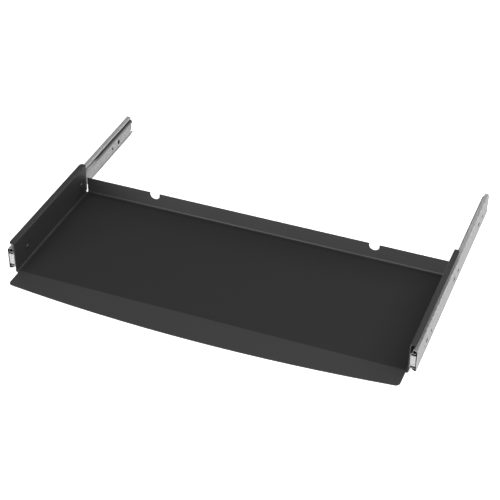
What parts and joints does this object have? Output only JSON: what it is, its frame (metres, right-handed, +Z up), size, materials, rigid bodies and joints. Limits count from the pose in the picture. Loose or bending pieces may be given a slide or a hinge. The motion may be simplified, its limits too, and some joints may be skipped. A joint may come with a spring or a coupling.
{
  "type": "keyboard tray under desk",
  "caption": "Shallow sheet-steel keyboard tray with a thin mat, an arched front lip and cable notches, sliding out from under a desk on ball-bearing rails at its sides.",
  "frame": {"origin": "on the upper face of the mat, midway across the pan and midway along its side walls, with the tray pushed in", "axes": "+X across the tray to the right as the user sits, +Y to the rear under the desk, +Z up"},
  "size_m": [0.6236, 0.4535, 0.0512],
  "materials": {
    "black_coat": "satin black powder coat with a fine grain",
    "mat_black": "matt, finely grained sheet",
    "zinc_rail": "bright zinc plate on rolled steel",
    "zinc_cage": "zinc plate",
    "ball_steel": "polished ball steel",
    "black_rubber": "matt",
    "black_screw": "black oxide",
    "zinc_nut": "zinc plate"
  },
  "bodies": {
    "rails": {"outer_rail_left": "zinc_rail", "outer_rail_right": "zinc_rail", "rear_buffer_left": "black_rubber", "rear_buffer_right": "black_rubber"},
    "tray": {"tray_pan": "black_coat", "floor_mat": "mat_black", "inner_rail_left": "zinc_rail", "inner_rail_right": "zinc_rail", "pan_screws_left": "black_screw", "pan_screws_right": "black_screw", "pan_nuts_left": "zinc_nut", "pan_nuts_right": "zinc_nut"},
    "left_cage": {"ball_cage_left": "zinc_cage", "upper_balls_left": "ball_steel", "lower_balls_left": "ball_steel"},
    "right_cage": {"ball_cage_right": "zinc_cage", "upper_balls_right": "ball_steel", "lower_balls_right": "ball_steel"}
  },
  "joints": [
    {"name": "tray_slide", "type": "slide", "parent": "rails", "child": "tray", "axis": [0, -1, 0], "range_m": [0, 0.28]},
    {"name": "left_cage_slide", "type": "slide", "parent": "rails", "child": "left_cage", "axis": [0, -1, 0], "range_m": [0, 0.14]},
    {"name": "right_cage_slide", "type": "slide", "parent": "rails", "child": "right_cage", "axis": [0, -1, 0], "range_m": [0, 0.14]}
  ],
  "couplings": [
    {"joint": "left_cage_slide", "follows": "tray_slide", "ratio": 0.5},
    {"joint": "right_cage_slide", "follows": "tray_slide", "ratio": 0.5}
  ]
}
